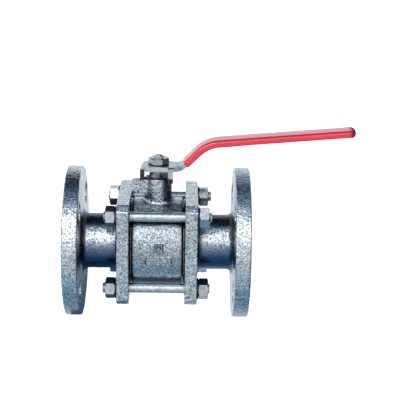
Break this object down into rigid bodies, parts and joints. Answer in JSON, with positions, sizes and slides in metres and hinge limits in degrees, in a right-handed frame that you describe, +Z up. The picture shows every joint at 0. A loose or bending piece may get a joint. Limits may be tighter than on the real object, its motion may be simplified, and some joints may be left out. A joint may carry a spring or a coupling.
{
  "type": "flanged ball valve",
  "caption": "Three-piece flanged ball valve: two flanged ends are bolted round a centre body whose ball is turned a quarter turn by a sleeved lever.",
  "frame": {"origin": "the ball's centre, where the flow bore and the stem axis cross", "axes": "+X along the flow bore towards the end that the open lever points to, +Y towards the back, +Z up the stem"},
  "size_m": [0.2041, 0.108, 0.1397],
  "materials": {
    "casting": "sand-cast iron under aluminium paint, granular, half gloss",
    "gasket": "graphite sheet, matt",
    "seat_plastic": "white PTFE, waxy",
    "packing": "white PTFE, waxy",
    "ball_steel": "polished stainless steel",
    "stem_steel": "turned stainless steel",
    "dark_steel": "oil-blackened steel",
    "spring_steel": "dark spring steel",
    "zinc_steel": "bright zinc plate",
    "lever_steel": "galvanised, slightly dull",
    "sleeve_vinyl": "dipped red vinyl, glossy"
  },
  "bodies": {
    "housing": {"body_gasket_left": "gasket", "body_gasket_right": "gasket", "body_stud_lower_back": "zinc_steel", "body_stud_lower_front": "zinc_steel", "body_stud_upper_back": "zinc_steel", "body_stud_upper_front": "zinc_steel", "centre_body": "casting", "end_piece_left": "casting", "end_piece_right": "casting", "gland_ring": "stem_steel", "seat_left": "seat_plastic", "seat_right": "seat_plastic", "stem_packing_lower": "packing", "stem_packing_middle": "packing", "stem_packing_upper": "packing", "stem_thrust_washer": "packing", "stud_nut_left_lower_back": "zinc_steel", "stud_nut_left_lower_front": "zinc_steel", "stud_nut_left_upper_back": "zinc_steel", "stud_nut_left_upper_front": "zinc_steel", "stud_nut_right_lower_back": "zinc_steel", "stud_nut_right_lower_front": "zinc_steel", "stud_nut_right_upper_back": "zinc_steel", "stud_nut_right_upper_front": "zinc_steel", "stud_washer_left_lower_back": "spring_steel", "stud_washer_left_lower_front": "spring_steel", "stud_washer_left_upper_back": "spring_steel", "stud_washer_left_upper_front": "spring_steel", "stud_washer_right_lower_back": "spring_steel", "stud_washer_right_lower_front": "spring_steel", "stud_washer_right_upper_back": "spring_steel", "stud_washer_right_upper_front": "spring_steel"},
    "stem_and_lever": {"stem": "stem_steel", "disc_spring_lower": "spring_steel", "disc_spring_upper": "spring_steel", "stem_nut": "dark_steel", "lever": "lever_steel", "lever_sleeve": "sleeve_vinyl", "lever_washer": "spring_steel", "lever_nut": "zinc_steel"},
    "ball": {"ball": "ball_steel"}
  },
  "joints": [
    {"name": "lever_turn", "type": "hinge", "parent": "housing", "child": "stem_and_lever", "pos_m": [0, 0, 0], "axis": [0, 0, 1], "range_deg": [-90, 0]},
    {"name": "ball_turn", "type": "hinge", "parent": "housing", "child": "ball", "pos_m": [0, 0, 0], "axis": [0, 0, 1], "range_deg": [-90, 0]}
  ],
  "couplings": [
    {"joint": "ball_turn", "follows": "lever_turn", "ratio": 1}
  ]
}
